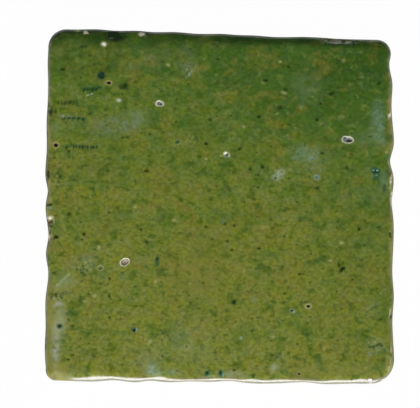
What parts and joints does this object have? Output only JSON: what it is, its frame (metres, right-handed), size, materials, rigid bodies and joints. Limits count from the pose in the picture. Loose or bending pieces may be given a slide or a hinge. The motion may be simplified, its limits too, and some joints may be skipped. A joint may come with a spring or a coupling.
{
  "type": "glazed tile",
  "caption": "Hand-cut square tile in glazed terracotta, with wavy sides, a rolled edge, a slightly crowned pitted green face and a flat bare back.",
  "frame": {"origin": "on the plane of the flat back, under the middle of the tile's outline", "axes": "+Z out of the glazed face through the thickness, +X and +Y along the tile's sides"},
  "size_m": [0.1004, 0.102, 0.011],
  "materials": {
    "glazed_terracotta": "gloss"
  },
  "bodies": {
    "root": {"glazed_tile": "glazed_terracotta"}
  },
  "joints": []
}
